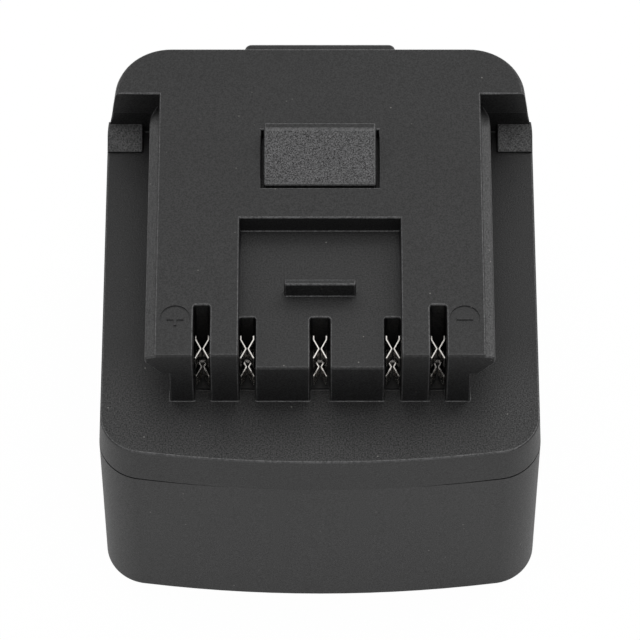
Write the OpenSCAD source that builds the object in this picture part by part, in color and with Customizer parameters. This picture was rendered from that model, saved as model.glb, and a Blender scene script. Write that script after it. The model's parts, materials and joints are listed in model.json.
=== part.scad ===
// Battery adapter for cordless tools.
// A T-shaped slide platform on top takes the tool, a bay below takes the donor battery.
// The front, where the tool's blades enter the slots, faces -Y. The origin is under the middle.

/* [Body] */
// Width of the housing
body_w = 77.3; // [72:0.1:84]
// Length of the housing from the front bulge to the back face
body_len = 79.8; // [76:0.1:90]
// Height of the lower housing up to the seam
lower_h = 37.7; // [35:0.1:46]
// Height of the cover plate above the seam
cover_h = 8.6; // [8:0.1:12]
// How far the cover's walls lean in over its height
cover_draft = 0.45; // [0.2:0.05:0.8]
// How far the front face bulges at its middle
front_bulge = 3.2; // [1.5:0.1:4]
// Plan radius of the front corners
front_corner_r = 8; // [6:0.5:9]
// Plan radius of the back corners
back_corner_r = 12.1; // [8:0.1:12.1]
// Wall thickness of both mouldings
wall = 2.4; // [2:0.1:2.8]
// Rounding of the back slab's top edge
rim_r = 0.7; // [0.4:0.1:1.2]
// Opening of the seam at the sides of the housing
seam_gap = 0.45; // [0.2:0.05:0.8]
// Half width over which the seam stays closed
seam_closed = 15; // [8:1:24]

/* [Slide platform] */
// Height of the platform above the plate
platform_h = 15; // [14.5:0.1:18]
// Distance from the front of the housing to the platform's front face
platform_setback = 12.9; // [11:0.05:14]
// Width of the platform below its flanges
neck_w = 52.2; // [50.4:0.1:54]
// Width across the flanges
flange_w = 60.2; // [58.5:0.1:62]
// Thickness of the flanges and of the back slab
flange_t = 6.1; // [5.5:0.1:6.6]
// Flat part of the flange's underside beside the neck
flange_flat = 1.2; // [0.8:0.1:2]
// Height of the sloped part of the flange's underside
flange_taper = 3.8; // [3:0.1:4.2]
// Width of the bevelled strip along each flange
strip_w = 1.6; // [1:0.1:2]
// Drop of the strip at the flange's outer edge
strip_drop = 0.85; // [0.4:0.05:1]
// Small step at the inner edge of the strip
strip_step = 0.3; // [0.1:0.05:0.4]
// Length over which the strip runs out before the back slab
runout_len = 7.5; // [6:0.1:12]
// Depth of the run-out at the back slab
runout_depth = 3.4; // [1.5:0.1:4]
// Rounding of the platform's front edge
front_edge_r = 0.5; // [0.4:0.1:1.2]
// Length of the back slab, from the back face
slab_len = 12.35; // [12.2:0.05:13]
// How far the back slab's top edge stands in from the housing's walls
back_draft = 2.4; // [1:0.1:2.8]
// Length of the undercut beneath the back slab
undercut_len = 2.1; // [1.5:0.1:5]
// Width of the ramp pads at the back of the rails
pad_w = 6.4; // [5:0.1:7]
// Distance that the pads reach in front of the slab
pad_reach = 2.5; // [1.5:0.1:4]
// Height of the pads at their front edge
pad_step = 0.4; // [0.2:0.1:0.8]
// Height of the pads below the slab
pad_rise = 2.6; // [1.5:0.1:3.5]

/* [Contact slots and pocket] */
// Distance of the outer slots from the middle
outer_slot_x = 20.4; // [20:0.1:21]
// Distance of the inner slots from the middle
inner_slot_x = 12.6; // [12:0.1:13]
// Width of the four narrow slots
slot_w = 2.85; // [2.7:0.05:3.2]
// Width of the middle slot
middle_slot_w = 3.5; // [3:0.1:4.5]
// Length of the slots from the platform's front face
slot_len = 10.35; // [10:0.05:11.5]
// Corner radius at the ends of the slots
slot_end_r = 0.6; // [0.3:0.1:1.2]
// Wall round each slot inside the platform
sleeve_wall = 1.2; // [0.8:0.1:1.4]
// Distance from the pocket's back wall to the latch wedge
pocket_to_latch = 6.9; // [6:0.1:10]
// Depth of the pocket
pocket_depth = 4.1; // [3:0.1:4.4]
// Width of the rib in the pocket
rib_w = 12.5; // [8:0.1:18]
// Thickness of the rib
rib_t = 1.2; // [0.8:0.1:2]
// Height of the rib above the pocket's floor
rib_h = 3.6; // [2:0.1:4]
// Distance from the platform's front face to the rib
rib_setback = 14.75; // [13:0.05:20]
// Distance of the polarity marks from the middle
mark_x = 24.95; // [24.8:0.05:25.4]
// Distance from the platform's front face to the polarity marks
mark_setback = 7.6; // [5:0.1:12]
// Radius of the polarity marks
mark_r = 2.6; // [2:0.1:2.8]
// Half length of the strokes in the marks
mark_arm = 1.4; // [1:0.1:1.6]
// Width of the strokes
mark_line = 0.5; // [0.3:0.05:0.8]
// Depth of the sunk disc round the strokes
mark_depth = 0.2; // [0.15:0.05:0.4]

/* [Latch] */
// Width of the latch wedge
latch_w = 19.7; // [18:0.1:22]
// Length of the latch wedge
latch_len = 11.2; // [10:0.1:12]
// Height of the latch crest above the platform
latch_rise = 3; // [2:0.1:3.2]
// Length of the flat crest
crest_len = 1.4; // [0.8:0.1:3]
// Distance from the back of the wedge to the back slab
latch_to_slab = 8.2; // [8:0.1:8.6]
// Gap round the wedge in its window
window_gap = 0.5; // [0.3:0.1:0.8]
// Travel of the latch
latch_travel = 3.5; // [3.3:0.1:4]
// Thickness of the latch carriage
carriage_t = 3; // [2:0.1:3.4]
// How far the carriage reaches past the wedge on its front and sides
carriage_lip = 2.4; // [1.5:0.1:2.8]
// Width of the release ledge
ledge_w = 27; // [24:0.1:27.4]
// How far the ledge stands out of the back face
ledge_out = 1.95; // [1.5:0.05:6]
// Distance from the platform's top to the ledge's top
ledge_drop = 5; // [4.8:0.1:5.4]
// Thickness of the release ledge
ledge_t = 5; // [4:0.1:5.4]
// Plan radius of the ledge's corners
ledge_r = 1.2; // [0.6:0.1:4]
// Distance of the guide posts from the middle
post_x = 8; // [7:0.1:9]
// Distance of the guide posts behind the wedge
post_setback = 7.4; // [7:0.1:7.8]
// Radius of the guide posts
post_r = 2; // [1.5:0.1:2.3]
// Mean radius of the latch springs
spring_r = 3.2; // [3:0.1:3.4]
// Radius of the spring wire
spring_wire_r = 0.3; // [0.2:0.05:0.35]
// Curls in each latch spring
spring_turns = 5; // [3:1:6]
// Thickness of the latch retainer
retainer_t = 2.5; // [2:0.1:3]

/* [Contacts] */
// Width of the spring clips
contact_w = 2.4; // [2.2:0.05:2.5]
// Distance from the platform's top to the clips
contact_drop = 5.5; // [4.8:0.1:6]
// Height of each leaf
leaf_h = 3; // [2:0.1:3.4]
// Height from one pair of leaves to the next
tier_pitch = 6; // [5:0.1:6]
// Sheet thickness of the leaves
leaf_t = 0.2; // [0.15:0.05:0.5]
// Distance from the platform's front face to the pinch of the leaves
pinch_setback = 4.85; // [4.6:0.05:5.4]
// Gap between the leaves at the pinch
pinch_gap = 0.2; // [0.1:0.05:0.5]
// Reach of the leaves before and behind the pinch
leaf_reach = 1.85; // [1.5:0.05:2.2]
// Length of the legs before the bridge that joins them
leaf_root = 0.5; // [0.4:0.05:1.6]
// Sheet thickness of the bridge and the solder tail
bridge_t = 0.5; // [0.4:0.05:0.7]
// Height of the bridge above the carrier
bridge_h = 1.2; // [0.8:0.1:2]
// Width of the solder tails
tail_w = 1.8; // [1.2:0.1:2]
// Length of the solder tails below the carrier
tail_len = 2.4; // [1.5:0.1:3]
// Thickness of the contact carrier
carrier_t = 3; // [2.4:0.1:4]

/* [Battery bay] */
// Width of the bay above its rails
bay_w = 66; // [64:0.5:67]
// Width between the rails
rail_gap = 57; // [54:0.5:60]
// Height of the rails
rail_h = 6; // [4:0.1:7]
// Height of the bay
bay_h = 20; // [19:0.1:22]
// Distance from the front of the housing to the bay
bay_setback = 6.65; // [6:0.05:8]
// Width of the catch in the bay's roof
catch_w = 22; // [16:0.5:24]
// Length of the catch
catch_len = 7; // [5:0.1:8]
// Depth of the catch
catch_depth = 4; // [3:0.1:5]
// Distance from the back face to the catch
catch_setback = 7.6; // [5:0.1:9]
// Width of the terminal block
block_w = 41.6; // [40:0.1:43]
// Length of the terminal block
block_len = 8.4; // [8:0.1:9.5]
// Height of the terminal block below the bay's roof
block_drop = 11; // [10:0.1:12]
// Width of the block's flange round the opening
block_flange = 1.6; // [1.2:0.1:2]
// Thickness of the block's flange
block_flange_t = 2; // [1.5:0.1:2.4]
// Distance of the power blades from the ends of the block
blade_inset = 3.8; // [2.5:0.1:6]
// Thickness of the power blades
blade_t = 1; // [0.8:0.05:1.2]
// Distance of the signal blades from the middle
signal_blade_x = 5; // [4:0.1:8]
// Thickness of the signal blades
signal_blade_t = 0.6; // [0.5:0.05:0.8]
// Height of the blades
blade_h = 6; // [5:0.1:7]
// Length of the blades in front of the block
blade_len = 12.8; // [10:0.1:16]
// Width of the blades' tails
blade_tail = 3; // [2:0.1:3.6]

/* [Electronics] */
// Width of the circuit board
board_w = 48; // [46:0.5:50]
// Length of the circuit board
board_len = 47; // [44:0.5:50]
// Thickness of the circuit board
board_t = 1.6; // [1:0.1:2]
// Height of the board's posts
board_post_h = 4.6; // [4:0.1:5.5]
// Distance of the board's screws from the middle
board_screw_x = 20.5; // [19:0.1:20.8]
// Size of the power transistors: width, length and height
transistor_size = [9, 8, 4.4];
// Distance of the transistors from the middle
transistor_x = 12; // [11:0.1:13]
// Radius of the smoothing capacitor
capacitor_r = 5; // [4:0.1:5.5]
// Height of the smoothing capacitor
capacitor_h = 8.5; // [6:0.1:9]
// Size of the signal header: width, length and height
header_size = [14, 4, 3];
// Distance between the signal wires at the header
header_pitch = 5; // [3:0.1:5.4]
// Radius of the power wires
power_wire_r = 1.1; // [0.8:0.05:1.3]
// Radius of the signal wires
signal_wire_r = 0.6; // [0.4:0.05:0.8]

/* [Screws and fits] */
// Shank radius of the case screws
case_screw_r = 1.5; // [1.2:0.05:1.6]
// Head radius of the case screws
case_head_r = 2.6; // [2.2:0.05:2.8]
// Head height of the case screws
case_head_h = 2; // [1.5:0.1:2.4]
// Shank radius of the small screws
small_screw_r = 1; // [0.8:0.05:1.1]
// Head radius of the small screws
small_head_r = 1.9; // [1.6:0.05:2]
// Head height of the small screws
small_head_h = 1.5; // [1:0.1:1.6]
// Radius of the bosses for the case screws
case_boss_r = 3.6; // [3.2:0.1:3.8]
// Radius of the bosses for the small screws
boss_r = 2.8; // [2.2:0.1:3]
// Radial clearance of a screw in its hole
screw_fit = 0.05; // [0.02:0.01:0.1]
// Radial clearance of the latch on its guide posts
slide_fit = 0.06; // [0.03:0.01:0.1]
// Clearance between mouldings that fit into each other
fit_gap = 0.2; // [0.1:0.05:0.3]
// Clearance round metal parts in their slots
metal_fit = 0.05; // [0.02:0.01:0.1]
// Clearance between the moving latch and what is fixed
move_gap = 0.3; // [0.2:0.05:0.4]

/* [Hidden] */
$fn = 64;
// Facets of the wide circle of the front bulge
bulge_fn = 720;
// Facets of thin round things
small_fn = 24;
// How far cutting shapes overrun what they cut
over = 1;
// How far joined shapes sink into each other
sink = 0.5;
black = [0.085, 0.085, 0.09];
dark_grey = [0.16, 0.16, 0.17];
silver = [0.78, 0.77, 0.75];
steel = [0.45, 0.46, 0.48];
copper = [0.80, 0.55, 0.32];
board_green = [0.10, 0.33, 0.18];
red = [0.65, 0.08, 0.06];
insulation_black = [0.05, 0.05, 0.05];
yellow = [0.85, 0.68, 0.12];

// Heights of the main levels
seam_z = lower_h;
plate_z = seam_z + cover_h;
top_z = plate_z + platform_h;
crest_z = top_z + latch_rise;
flange_z = top_z - flange_t;
pocket_z = top_z - pocket_depth;
inner_top = top_z - wall;
floor_z = bay_h + wall;

// Places along the length
half_w = body_w / 2;
y_front = -(body_len + ledge_out) / 2;
y_back = y_front + body_len;
plat_y0 = y_front + platform_setback;
slab_y = y_back - slab_len;
undercut_y = slab_y + undercut_len;
pad_y0 = slab_y - pad_reach;
slot_end_y = plat_y0 + slot_len;
inner_x = neck_w / 2 - wall;
inner_y0 = plat_y0 + wall;
inner_y1 = y_back - back_draft - wall;

// The front corners are arcs that touch the sides. They stand out of the bulge by a step or two of
// this snap, so that the two arcs cross cleanly
corner_snap = 0.01;
bulge_r = (half_w * half_w + front_bulge * front_bulge) / (2 * front_bulge);
bulge_y = y_front + bulge_r;
front_cx = half_w - front_corner_r;
touch_cy = bulge_y - sqrt(pow(bulge_r - front_corner_r, 2) - front_cx * front_cx);
front_cy = corner_snap * (floor(touch_cy / corner_snap) - 1);
back_cx = half_w - back_corner_r;
back_cy = y_back - back_corner_r;

// Half width of the bulge up to the front corners, drawn in by inset
function touch_x(inset) = front_cx * (bulge_r - inset) / (bulge_r - front_corner_r);

// Contact slots: place and width, from the plus side to the minus side
slots = [
    [-outer_slot_x, slot_w],
    [-inner_slot_x, slot_w],
    [0, middle_slot_w],
    [inner_slot_x, slot_w],
    [outer_slot_x, slot_w]
];
pocket_w = 2 * inner_slot_x + slot_w;

// Latch, from the window down to the retainer
latch_y1 = slab_y - latch_to_slab;
latch_y0 = latch_y1 - latch_len;
pocket_y = latch_y0 - pocket_to_latch;
carriage_z1 = inner_top - move_gap;
carriage_z0 = carriage_z1 - carriage_t;
ledge_z1 = top_z - ledge_drop;
ledge_z0 = ledge_z1 - ledge_t;
post_y = latch_y1 + post_setback;
ledge_y0 = post_y + spring_r + spring_wire_r + move_gap;
ledge_y1 = y_back + ledge_out;
carriage_w = latch_w + 2 * carriage_lip;
carriage_y1 = inner_y1 - move_gap;
retainer_gap = 1;
retainer_boss_gap = 1.2;
retainer_top = ledge_z0 - latch_travel - retainer_gap;
retainer_z0 = retainer_top - retainer_t;
retainer_screw_x = ledge_w / 2 + retainer_boss_gap + boss_r;
retainer_half_l = 5.5;
post_tip_gap = 0.8;
spring_length = carriage_z0 - retainer_top;

// Contacts and their carrier
carrier_gap = 0.1;
carrier_edge = 1;
carrier_top = plate_z - carrier_gap;
carrier_z0 = carrier_top - carrier_t;
carrier_screw_x = 18;
carrier_screw_setback = 18.2;
carrier_screw_y = plat_y0 + carrier_screw_setback;
pinch_y = plat_y0 + pinch_setback;
bridge_y = pinch_y + leaf_reach + leaf_root + bridge_t;
contact_top = top_z - contact_drop;
leg_x = (contact_w - leaf_t) / 2;
leg_y = pinch_y + leaf_reach;
tail_z = carrier_z0 - tail_len;
tail_y = bridge_y - bridge_t / 2;

// Battery bay
block_setback = 1.8;
block_foot = 2;
blade_cover = 2.7;
blade_stub = 1;
blade_x = block_w / 2 - blade_inset;
bay_y0 = y_front + bay_setback;
block_y0 = bay_y0 + block_setback;
block_y1 = block_y0 + block_len;
block_z0 = bay_h - block_drop;
blade_z0 = block_z0 + block_foot;
blade_z1 = blade_z0 + blade_h;
blade_y0 = block_y0 + blade_cover;
blade_y1 = block_y1 + blade_len;

// Board, with its pieces placed from the terminal block
board_overhang = 0.8;
board_screw_setback = 6.8;
board_screw_edge = 3;
header_setback = 8.5;
pad_setback = 1.5;
pad_inset = 1;
transistor_setback = 22.5;
capacitor_setback = 26.5;
board_z0 = floor_z + board_post_h;
board_z1 = board_z0 + board_t;
board_y0 = block_y0 - board_overhang;
board_y1 = board_y0 + board_len;
board_screw_y = [block_y1 + board_screw_setback, board_y1 - board_screw_edge];
header_y = block_y1 + header_setback;
power_pad_x = blade_x - pad_inset;
power_pad_y = block_y1 + pad_setback;
transistor_y = block_y1 + transistor_setback;
capacitor_y = block_y1 + capacitor_setback;

// Case screws, driven upwards from the bay's roof
case_screw_inset = 8.95;
case_screw_front = 12.1;
case_screw_back = 10.7;
head_recess = 1;
case_tip_gap = 1.2;
case_screw_x = half_w - case_screw_inset;
case_screw_y = [y_front + case_screw_front, y_back - case_screw_back];
case_seat_z = bay_h + case_head_h + head_recess;
case_screw_z1 = plate_z - wall - case_tip_gap;

// Small screws: length of thread in the shell, and the deeper hole for it
small_thread = 7;
small_hole = 8;
// The driver recess, as shares of the head's radius
recess_len = 1.1;
recess_w = 0.26;

// Shapes that repeat

module both_sides() {
    children();
    mirror([1, 0, 0]) children();
}

// A profile drawn in Y and Z, extruded across the width w about the middle
module across(w) {
    translate([-w / 2, 0, 0]) rotate([90, 0, 90]) linear_extrude(w) children();
}

// A profile drawn in X and Z, extruded from y0 to y1
module along(y0, y1) {
    translate([0, y1, 0]) rotate([90, 0, 0]) linear_extrude(y1 - y0) children();
}

function mirrored(half) =
    concat(half, [for (i = [len(half) - 1 : -1 : 0]) [-half[i][0], half[i][1]]]);

// Plan of the housing, drawn in by inset
module outline(inset = 0) {
    reach = touch_x(inset);
    intersection() {
        translate([0, bulge_y]) circle(r = bulge_r - inset, $fn = bulge_fn);
        translate([-reach, y_front - over]) square([2 * reach, front_cy - y_front + 2 * over]);
    }
    for (s = [-1, 1]) {
        translate([s * front_cx, front_cy]) circle(r = front_corner_r - inset);
        translate([s * back_cx, back_cy]) circle(r = back_corner_r - inset);
    }
    translate([inset - half_w, front_cy]) square([2 * (half_w - inset), back_cy - front_cy]);
    translate([-back_cx, front_cy]) square([2 * back_cx, y_back - inset - front_cy]);
}

// What a rounding of radius r takes off an outer edge at the origin, at the top of a wall
module rim_profile(r) {
    arc = [for (a = [90 : -30 : 0]) [r * cos(a) - r, r * sin(a) - r]];
    polygon(concat([[over, over], [-r, over]], arc, [[over, -r]]));
}

// Rounds the back slab along its sides, its back and its back corners
module round_slab() difference() {
    difference() {
        difference() {
            children();
            both_sides() translate([back_cx, back_cy, top_z])
                rotate_extrude(angle = 90)
                    translate([back_corner_r - back_draft, 0]) rim_profile(rim_r);
        }
        translate([0, 0, top_z]) across(2 * back_cx)
            translate([y_back - back_draft, 0]) rim_profile(rim_r);
    }
    both_sides() translate([half_w - back_draft, 0, top_z])
        along(slab_y - over, back_cy) rim_profile(rim_r);
}

// Rounds the platform's front edge at height z over a width w
module platform_front_rim(z, w) {
    translate([w / 2, plat_y0, z]) rotate([90, 0, -90]) linear_extrude(w) rim_profile(front_edge_r);
}

// A screw along +Z with its head below z
module screw(z, r, head_r, head_h, length) {
    translate([0, 0, z - sink]) cylinder(h = length + sink, r = r);
    difference() {
        translate([0, 0, z - head_h]) cylinder(h = head_h, r = head_r);
        translate([0, 0, z - head_h - over]) cross_recess(head_r, over + head_h / 2);
    }
}

// The driver recess of a screw head
module cross_recess(head_r, depth) {
    for (a = [0, 90]) rotate([0, 0, a])
        translate([-head_r * recess_len / 2, -head_r * recess_w / 2, 0])
            cube([head_r * recess_len, head_r * recess_w, depth]);
}

// Upper shell

platform_half = [
    [neck_w / 2, plate_z - sink],
    [neck_w / 2, flange_z],
    [neck_w / 2 + flange_flat, flange_z],
    [flange_w / 2, flange_z + flange_taper],
    [flange_w / 2, top_z - strip_drop],
    [flange_w / 2 - strip_w, top_z - strip_step],
    [flange_w / 2 - strip_w, top_z]
];

// The platform, with the strip along each flange running out before the slab
module platform() difference() {
    end_y = undercut_y + over;
    end_z = top_z - strip_step - runout_depth * (end_y - slab_y + runout_len) / runout_len;
    along(plat_y0, undercut_y) polygon(mirrored(platform_half));
    both_sides() translate([flange_w / 2, 0, 0]) across(2 * strip_w) polygon([
        [slab_y - runout_len, top_z - strip_step], [end_y, end_z],
        [end_y, top_z + over], [slab_y - runout_len, top_z + over]
    ]);
}

// The back slab: leaning walls with cones at its corners, undercut beside the neck
module back_slab() {
    foot_x = half_w - cover_draft;
    foot_y = y_back - cover_draft;
    foot_r = back_corner_r - cover_draft;
    lean_x = half_w - back_draft;
    difference() {
        union() {
            both_sides() translate([back_cx, back_cy, plate_z - sink]) cylinder(h = sink, r = foot_r);
            both_sides() translate([back_cx, back_cy, plate_z])
                cylinder(h = platform_h, r1 = foot_r, r2 = back_corner_r - back_draft);
            along(slab_y, back_cy) polygon([
                [-foot_x, plate_z - sink], [foot_x, plate_z - sink], [foot_x, plate_z],
                [lean_x, top_z], [-lean_x, top_z], [-foot_x, plate_z]
            ]);
            across(2 * back_cx) polygon([
                [slab_y, plate_z - sink], [foot_y, plate_z - sink], [foot_y, plate_z],
                [y_back - back_draft, top_z], [slab_y, top_z]
            ]);
        }
        translate([-body_w / 2, slab_y - body_len, plate_z - over])
            cube([body_w, body_len, platform_h + 2 * over]);
        both_sides() translate([neck_w / 2, slab_y - over, plate_z - over])
            cube([half_w, undercut_len + over, flange_z - plate_z + over]);
    }
}

// Rough ramps on the plate that the tool's rails ride up on
module ramp_pads() intersection() {
    translate([0, 0, seam_z]) linear_extrude(cover_h + platform_h) outline(cover_draft);
    both_sides() translate([half_w - cover_draft - pad_w / 2, 0, 0]) across(pad_w) polygon([
        [pad_y0, plate_z - sink], [pad_y0, plate_z + pad_step],
        [undercut_y + sink, plate_z + pad_rise], [undercut_y + sink, plate_z - sink]
    ]);
}

// The cover's block, with leaning walls and cones at its corners
module cover_block() {
    reach = touch_x(0);
    top_x = half_w - cover_draft;
    intersection() {
        translate([0, bulge_y, seam_z])
            cylinder(h = cover_h, r1 = bulge_r, r2 = bulge_r - cover_draft, $fn = bulge_fn);
        translate([-reach, y_front - over, seam_z - over])
            cube([2 * reach, front_cy - y_front + 2 * over, cover_h + 2 * over]);
    }
    both_sides() {
        translate([front_cx, front_cy, seam_z])
            cylinder(h = cover_h, r1 = front_corner_r, r2 = front_corner_r - cover_draft);
        translate([back_cx, back_cy, seam_z])
            cylinder(h = cover_h, r1 = back_corner_r, r2 = back_corner_r - cover_draft);
    }
    along(front_cy, back_cy) polygon([
        [-half_w, seam_z], [half_w, seam_z], [top_x, plate_z], [-top_x, plate_z]
    ]);
    across(2 * back_cx) polygon([
        [front_cy, seam_z], [y_back, seam_z], [y_back - cover_draft, plate_z], [front_cy, plate_z]
    ]);
}

// The plate, open at the sides of the seam
module cover_plate() difference() {
    cover_block();
    along(y_front - over, y_back + over) polygon([
        [-half_w, seam_z + seam_gap], [-seam_closed, seam_z], [seam_closed, seam_z],
        [half_w, seam_z + seam_gap], [half_w + over, seam_z - over], [-half_w - over, seam_z - over]
    ]);
}

// The hollow of the shell, with walls left round the pocket and the slots
module shell_cavity() difference() {
    union() {
        translate([0, 0, seam_z - over]) linear_extrude(cover_h - wall + over) outline(wall);
        translate([-inner_x, inner_y0, seam_z])
            cube([2 * inner_x, inner_y1 - inner_y0, inner_top - seam_z]);
    }
    translate([-pocket_w / 2 - wall, inner_y0 - over, pocket_z - wall])
        cube([pocket_w + 2 * wall, pocket_y + wall - inner_y0 + over, platform_h]);
    for (s = slots)
        translate([s[0] - s[1] / 2 - sleeve_wall, inner_y0 - over, plate_z])
            cube([s[1] + 2 * sleeve_wall, slot_end_y + sleeve_wall - inner_y0 + over, platform_h]);
}

// Bosses for the case, carrier and retainer screws
module shell_bosses() both_sides() {
    translate([carrier_screw_x, carrier_screw_y, carrier_top])
        cylinder(h = inner_top - carrier_top + sink, r = boss_r);
    translate([retainer_screw_x, post_y, retainer_top])
        cylinder(h = inner_top - retainer_top + sink, r = boss_r);
    for (y = case_screw_y)
        translate([case_screw_x, y, seam_z + seam_gap])
            cylinder(h = cover_h - wall - seam_gap + sink, r = case_boss_r);
}

// The lip that centres the shell inside the lower housing's wall
module shell_lip() {
    lip_t = 1.2;
    lip_h = 1.5;
    difference() {
        union() {
            translate([0, 0, seam_z - lip_h]) linear_extrude(2 * lip_h) outline(wall + fit_gap);
            translate([0, 0, seam_z + lip_h - sink]) linear_extrude(lip_h) outline(wall - sink);
        }
        translate([0, 0, seam_z - lip_h - over])
            linear_extrude(3 * lip_h + 2 * over) outline(wall + fit_gap + lip_t);
    }
}

module contact_slots() for (s = slots) {
    end_x = s[1] / 2 - slot_end_r;
    translate([s[0], 0, plate_z]) linear_extrude(platform_h + over) {
        translate([-s[1] / 2, plat_y0 - over]) square([s[1], slot_len - slot_end_r + over]);
        translate([-end_x, plat_y0 - over]) square([2 * end_x, slot_len + over]);
        for (side = [-1, 1]) translate([side * end_x, slot_end_y - slot_end_r]) circle(r = slot_end_r);
    }
}

// A sunk disc with the strokes of a plus or a minus left standing in it
module polarity_mark(x, plus) translate([x, plat_y0 + mark_setback, top_z - mark_depth]) difference() {
    cylinder(h = mark_depth + over, r = mark_r);
    translate([-mark_arm, -mark_line / 2, -over]) cube([2 * mark_arm, mark_line, mark_depth + 3 * over]);
    if (plus) translate([-mark_line / 2, -mark_arm, -over])
        cube([mark_line, 2 * mark_arm, mark_depth + 3 * over]);
}

module upper_shell() color(black) {
    difference() {
        union() {
            difference() {
                union() {
                    cover_plate();
                    platform();
                    round_slab() back_slab();
                    ramp_pads();
                }
                shell_cavity();
            }
            shell_bosses();
            shell_lip();
        }
        // Latch window and the gate for the release ledge
        translate([-latch_w / 2 - window_gap, latch_y0 - window_gap, inner_top - over])
            cube([latch_w + 2 * window_gap, latch_len + 2 * window_gap, wall + 2 * over]);
        translate([-ledge_w / 2 - move_gap, inner_y1 - over, ledge_z0 - latch_travel - move_gap])
            cube([ledge_w + 2 * move_gap, slab_len, ledge_t + latch_travel + 2 * move_gap]);
        // Pocket, slots and marks
        translate([-pocket_w / 2, plat_y0 - over, pocket_z])
            cube([pocket_w, pocket_y - plat_y0 + over, pocket_depth + over]);
        contact_slots();
        polarity_mark(-mark_x, true);
        polarity_mark(mark_x, false);
        // Rounded edges
        platform_front_rim(top_z, flange_w + 2 * over);
        platform_front_rim(pocket_z, pocket_w);
        // Screw holes
        both_sides() {
            translate([carrier_screw_x, carrier_screw_y, carrier_top - over])
                cylinder(h = small_hole + over, r = small_screw_r + screw_fit);
            translate([retainer_screw_x, post_y, retainer_top - over])
                cylinder(h = small_hole + over, r = small_screw_r + screw_fit);
            for (y = case_screw_y) translate([case_screw_x, y, seam_z - over])
                cylinder(h = case_screw_z1 - seam_z + over + sink, r = case_screw_r + screw_fit);
        }
    }
    translate([-rib_w / 2, plat_y0 + rib_setback, pocket_z - sink]) cube([rib_w, rib_t, rib_h + sink]);
}

// Lower housing

module lower_housing() color(black) difference() {
    union() {
        difference() {
            linear_extrude(lower_h) outline();
            translate([0, 0, floor_z]) linear_extrude(lower_h) outline(wall);
        }
        both_sides() {
            for (y = case_screw_y) translate([case_screw_x, y, bay_h + sink])
                cylinder(h = seam_z - bay_h - sink, r = case_boss_r);
            for (y = board_screw_y) translate([board_screw_x, y, bay_h + sink])
                cylinder(h = board_z0 - bay_h - sink, r = boss_r);
        }
        translate([-catch_w / 2 - wall, y_back - catch_setback - catch_len - wall, bay_h + sink])
            cube([catch_w + 2 * wall, catch_len + 2 * wall, catch_depth + wall - sink]);
    }
    // Bay for the donor battery, open below and at the back, with a rail on each side
    translate([-bay_w / 2, bay_y0, rail_h])
        cube([bay_w, body_len, bay_h - rail_h]);
    translate([-rail_gap / 2, bay_y0, -over])
        cube([rail_gap, body_len, bay_h]);
    translate([-catch_w / 2, y_back - catch_setback - catch_len, bay_h - over])
        cube([catch_w, catch_len, catch_depth + over]);
    translate([-block_w / 2 - fit_gap, block_y0 - fit_gap, bay_h - over])
        cube([block_w + 2 * fit_gap, block_len + 2 * fit_gap, wall + 2 * over]);
    // Screw holes
    both_sides() {
        for (y = case_screw_y) translate([case_screw_x, y, bay_h - over]) {
            cylinder(h = case_seat_z - bay_h + over, r = case_head_r + fit_gap);
            cylinder(h = lower_h, r = case_screw_r + fit_gap);
        }
        for (y = board_screw_y) translate([board_screw_x, y, bay_h + wall / 2])
            cylinder(h = lower_h, r = small_screw_r + screw_fit);
    }
}

// Latch

module release_latch() color(black) difference() {
    union() {
        across(latch_w) polygon([
            [latch_y0, carriage_z0], [latch_y0, top_z],
            [latch_y1 - crest_len, crest_z], [latch_y1, crest_z], [latch_y1, carriage_z0]
        ]);
        translate([-carriage_w / 2, latch_y0 - carriage_lip, carriage_z0])
            cube([carriage_w, carriage_y1 - latch_y0 + carriage_lip, carriage_t]);
        translate([0, 0, ledge_z0]) linear_extrude(ledge_t) {
            translate([-ledge_w / 2, ledge_y0]) square([ledge_w, ledge_y1 - ledge_r - ledge_y0]);
            translate([ledge_r - ledge_w / 2, ledge_y1 - 2 * ledge_r])
                square([ledge_w - 2 * ledge_r, 2 * ledge_r]);
            for (s = [-1, 1]) translate([s * (ledge_w / 2 - ledge_r), ledge_y1 - ledge_r])
                circle(r = ledge_r);
        }
    }
    both_sides() translate([post_x, post_y, carriage_z0 - over])
        cylinder(h = carriage_t + 2 * over, r = post_r + slide_fit);
}

module latch_retainer() color(dark_grey) {
    difference() {
        translate([-retainer_screw_x - boss_r, post_y - retainer_half_l, retainer_z0])
            cube([2 * (retainer_screw_x + boss_r), 2 * retainer_half_l, retainer_t]);
        both_sides() translate([retainer_screw_x, post_y, retainer_z0 - over])
            cylinder(h = retainer_t + 2 * over, r = small_screw_r + fit_gap);
    }
    both_sides() translate([post_x, post_y, retainer_top - sink])
        cylinder(h = carriage_z1 - post_tip_gap - retainer_top + sink, r = post_r);
}

// Rings and sides of a curl of the spring
curl_rings = 8;
wire_sides = 6;
// The coil stands clear of its seats by this much at each end
spring_seat_gap = 0.1;
spring_rise = spring_length - 2 * (spring_wire_r + spring_seat_gap);
spring_steps = spring_turns * curl_rings;

function coil_angle(i) = 360 * i / curl_rings;
function coil_point(i) = [
    spring_r * cos(coil_angle(i)), spring_r * sin(coil_angle(i)),
    spring_wire_r + spring_seat_gap + spring_rise * i / spring_steps
];
coil_points = [for (i = [0 : spring_steps]) coil_point(i)];

// Least gap between curls, measured on points at least half a curl apart
spring_self_gap = min([
    for (i = [0 : spring_steps]) for (j = [i + curl_rings / 2 : 1 : spring_steps])
        norm(coil_points[i] - coil_points[j])
]) - 2 * spring_wire_r;
echo(spring_self_gap = spring_self_gap);

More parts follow.
